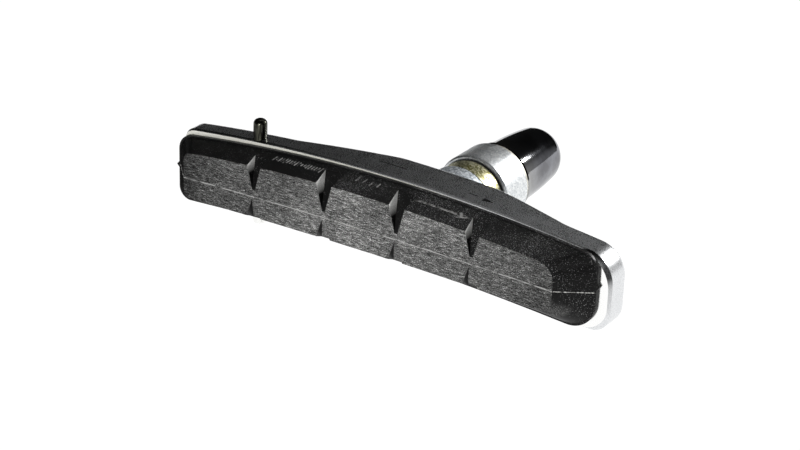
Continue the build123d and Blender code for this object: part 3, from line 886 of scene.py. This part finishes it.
# Name, darkest and lightest tint, least and most roughness, and how much of the coat the painted shadow at
# the joint hides
zinc_coats = {
    "spacer": ("zinc plated steel, blue passivated", "#98a0a7", "#f2f6f9", 0.62, 0.75, 0.0),
    "ball_washer": ("zinc plated steel, yellow passivated", "#86824a", "#f0ecca", 0.36, 0.48, 0.95),
    "cup_washer": ("zinc plated steel, bright", "#d2d6d8", "#f8fafa", 0.38, 0.50, 0.0),
    "flat_washer": ("zinc plated steel, pale", "#b9b6aa", "#f6f4ea", 0.48, 0.58, 0.0),
    "stud": ("zinc plated steel, thread", "#8f9296", "#d5d8dc", 0.30, 0.45, 0.0),
}
for node, (name, dark, light, smooth, rough, joint_shade_share) in zinc_coats.items():
    zinc, tree, shader, in_mm = start_material(name, **{"Metallic": 1.0})
    crystals = add(tree, "ShaderNodeTexVoronoi", {
        "Vector": in_mm, "Scale": 1 / crystal_size, "Randomness": 1.0,
    })
    one_each = add(tree, "ShaderNodeSeparateColor", {"Color": crystals.outputs["Color"]})
    clouds = add(tree, "ShaderNodeTexNoise", {
        "Vector": in_mm, "Scale": 1 / cloud_size, "Detail": 4.0, "Roughness": 0.65,
    })
    spangle = add(tree, "ShaderNodeMix", {
        "Factor": tint_share, "A": clouds.outputs["Fac"], "B": one_each.outputs["Red"],
    }, data_type="FLOAT")
    coat = add(tree, "ShaderNodeValToRGB", {"Fac": spangle.outputs["Result"]}, ramp=[
        (0.30, dark), (0.70, light),
    ])
    place = add(tree, "ShaderNodeSeparateXYZ", {"Vector": in_mm})
    painted_joint_shade = add(tree, "ShaderNodeMapRange", {
        "Value": place.outputs["Y"], "From Min": joint_y - joint_shade_starts, "From Max": joint_y - joint_shade_full,
        "To Max": joint_shade_share,
    })
    # Painted shadow: a dark line on the ball washer where it meets the cup washer.
    joint_shaded = add(tree, "ShaderNodeMix", {
        "Factor": painted_joint_shade.outputs["Result"], "A": coat.outputs["Color"], "B": srgb("#14120a"),
    }, data_type="RGBA")
    tree.links.new(joint_shaded.outputs["Result"], shader.inputs["Base Color"])
    dull = add(tree, "ShaderNodeMapRange", {
        "Value": one_each.outputs["Green"], "To Min": smooth, "To Max": rough,
    })
    tree.links.new(dull.outputs["Result"], shader.inputs["Roughness"])
    rings = add(tree, "ShaderNodeTexWave", {
        "Vector": in_mm, "Scale": 1 / ring_scale, "Distortion": 0.6, "Detail": 2.0,
    }, wave_type="BANDS", bands_direction="Y")
    relief = add(tree, "ShaderNodeMix", {
        "Factor": relief_share, "A": rings.outputs["Fac"], "B": one_each.outputs["Blue"],
    }, data_type="FLOAT")
    turned = add(tree, "ShaderNodeBump", {
        "Height": relief.outputs["Result"], "Strength": 0.18, "Distance": relief_depth,
    })
    tree.links.new(turned.outputs["Normal"], shader.inputs["Normal"])
    dress(node, zinc)

# %% [markdown]
# ## Black oxide for the nut
# The nut was polished, turned black by an oxide and oiled, which makes it a dark mirror. It gives little back
# by itself, so what is seen of it is what it mirrors: black where that is the room, grey where it is the
# table, and one small glint of the lamp near its foot. The coat has worn thin towards the foot, where the
# flange turns against its washer. Faint smears of oil keep the mirror from being perfect, and the lathe has
# left very shallow waves.

# %% Material: black oxide
smear_size, wave_scale = 2.6, 1.6
wave_depth = 0.01 * MM
foot_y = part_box("nut")[0].y / MM
worn_height, worn_share = 5.0, 0.5
black_oxide, tree, shader, in_mm = start_material("black oxide on polished steel, oiled", **{"Metallic": 1.0})
smears = add(tree, "ShaderNodeTexNoise", {
    "Vector": in_mm, "Scale": 1 / smear_size, "Detail": 4.0, "Roughness": 0.6,
})
mirror = add(tree, "ShaderNodeValToRGB", {"Fac": smears.outputs["Fac"]}, ramp=[
    (0.38, "#6b6b6f"), (0.70, "#8b8d93"),
])
place = add(tree, "ShaderNodeSeparateXYZ", {"Vector": in_mm})
worn_foot = add(tree, "ShaderNodeMapRange", {
    "Value": place.outputs["Y"], "From Min": foot_y, "From Max": foot_y + worn_height,
    "To Min": worn_share, "To Max": 0.0,
})
blackened = add(tree, "ShaderNodeMix", {
    "Factor": worn_foot.outputs["Result"], "A": mirror.outputs["Color"], "B": srgb("#c8c8c4"),
}, data_type="RGBA")
tree.links.new(blackened.outputs["Result"], shader.inputs["Base Color"])
film = add(tree, "ShaderNodeMapRange", {"Value": smears.outputs["Fac"], "To Min": 0.05, "To Max": 0.09})
tree.links.new(film.outputs["Result"], shader.inputs["Roughness"])
tool_marks = add(tree, "ShaderNodeTexWave", {
    "Vector": in_mm, "Scale": 1 / wave_scale, "Distortion": 0.8, "Detail": 2.0,
}, wave_type="BANDS", bands_direction="Y")
waves = add(tree, "ShaderNodeBump", {
    "Height": tool_marks.outputs["Fac"], "Strength": 0.05, "Distance": wave_depth,
})
tree.links.new(waves.outputs["Normal"], shader.inputs["Normal"])
dress("nut", black_oxide)

# %% [markdown]
# ## Spring steel for the split pin
# The pin is drawn wire, folded double and blued by its heat treatment. Drawing leaves it smooth with
# scratches along its length, so its pattern is stretched that way and its reflections break up into upright
# streaks. Its lower end was cut after that and is bare, bright steel.

# %% Material: drawn spring steel
scratch_size = 0.20
scratch_squeeze = 0.10  # along the wire, so a scratch is ten times as long as it is wide
scratch_depth = 0.01 * MM
blued_z, bare_z = -5.5, -6.5
spring_steel, tree, shader, in_mm = start_material("spring steel wire, drawn and blued", **{"Metallic": 1.0})
lengthways = add(tree, "ShaderNodeMapping", {"Vector": in_mm, "Scale": (1.0, 1.0, scratch_squeeze)})
scratches = add(tree, "ShaderNodeTexNoise", {
    "Vector": lengthways.outputs["Vector"], "Scale": 1 / scratch_size, "Detail": 3.0,
})
blued = add(tree, "ShaderNodeValToRGB", {"Fac": scratches.outputs["Fac"]}, ramp=[
    (0.35, "#1b1b18"), (0.65, "#55554b"),
])
place = add(tree, "ShaderNodeSeparateXYZ", {"Vector": in_mm})
bare_end = add(tree, "ShaderNodeMapRange", {
    "Value": place.outputs["Z"], "From Min": blued_z, "From Max": bare_z,
})
wire = add(tree, "ShaderNodeMix", {
    "Factor": bare_end.outputs["Result"], "A": blued.outputs["Color"], "B": srgb("#f4f4f2"),
}, data_type="RGBA")
tree.links.new(wire.outputs["Result"], shader.inputs["Base Color"])
drawn = add(tree, "ShaderNodeMapRange", {"Value": scratches.outputs["Fac"], "To Min": 0.18, "To Max": 0.38})
tree.links.new(drawn.outputs["Result"], shader.inputs["Roughness"])
drawing_bump = add(tree, "ShaderNodeBump", {
    "Height": scratches.outputs["Fac"], "Strength": 0.2, "Distance": scratch_depth,
})
tree.links.new(drawing_bump.outputs["Normal"], shader.inputs["Normal"])
dress("split_pin", spring_steel)
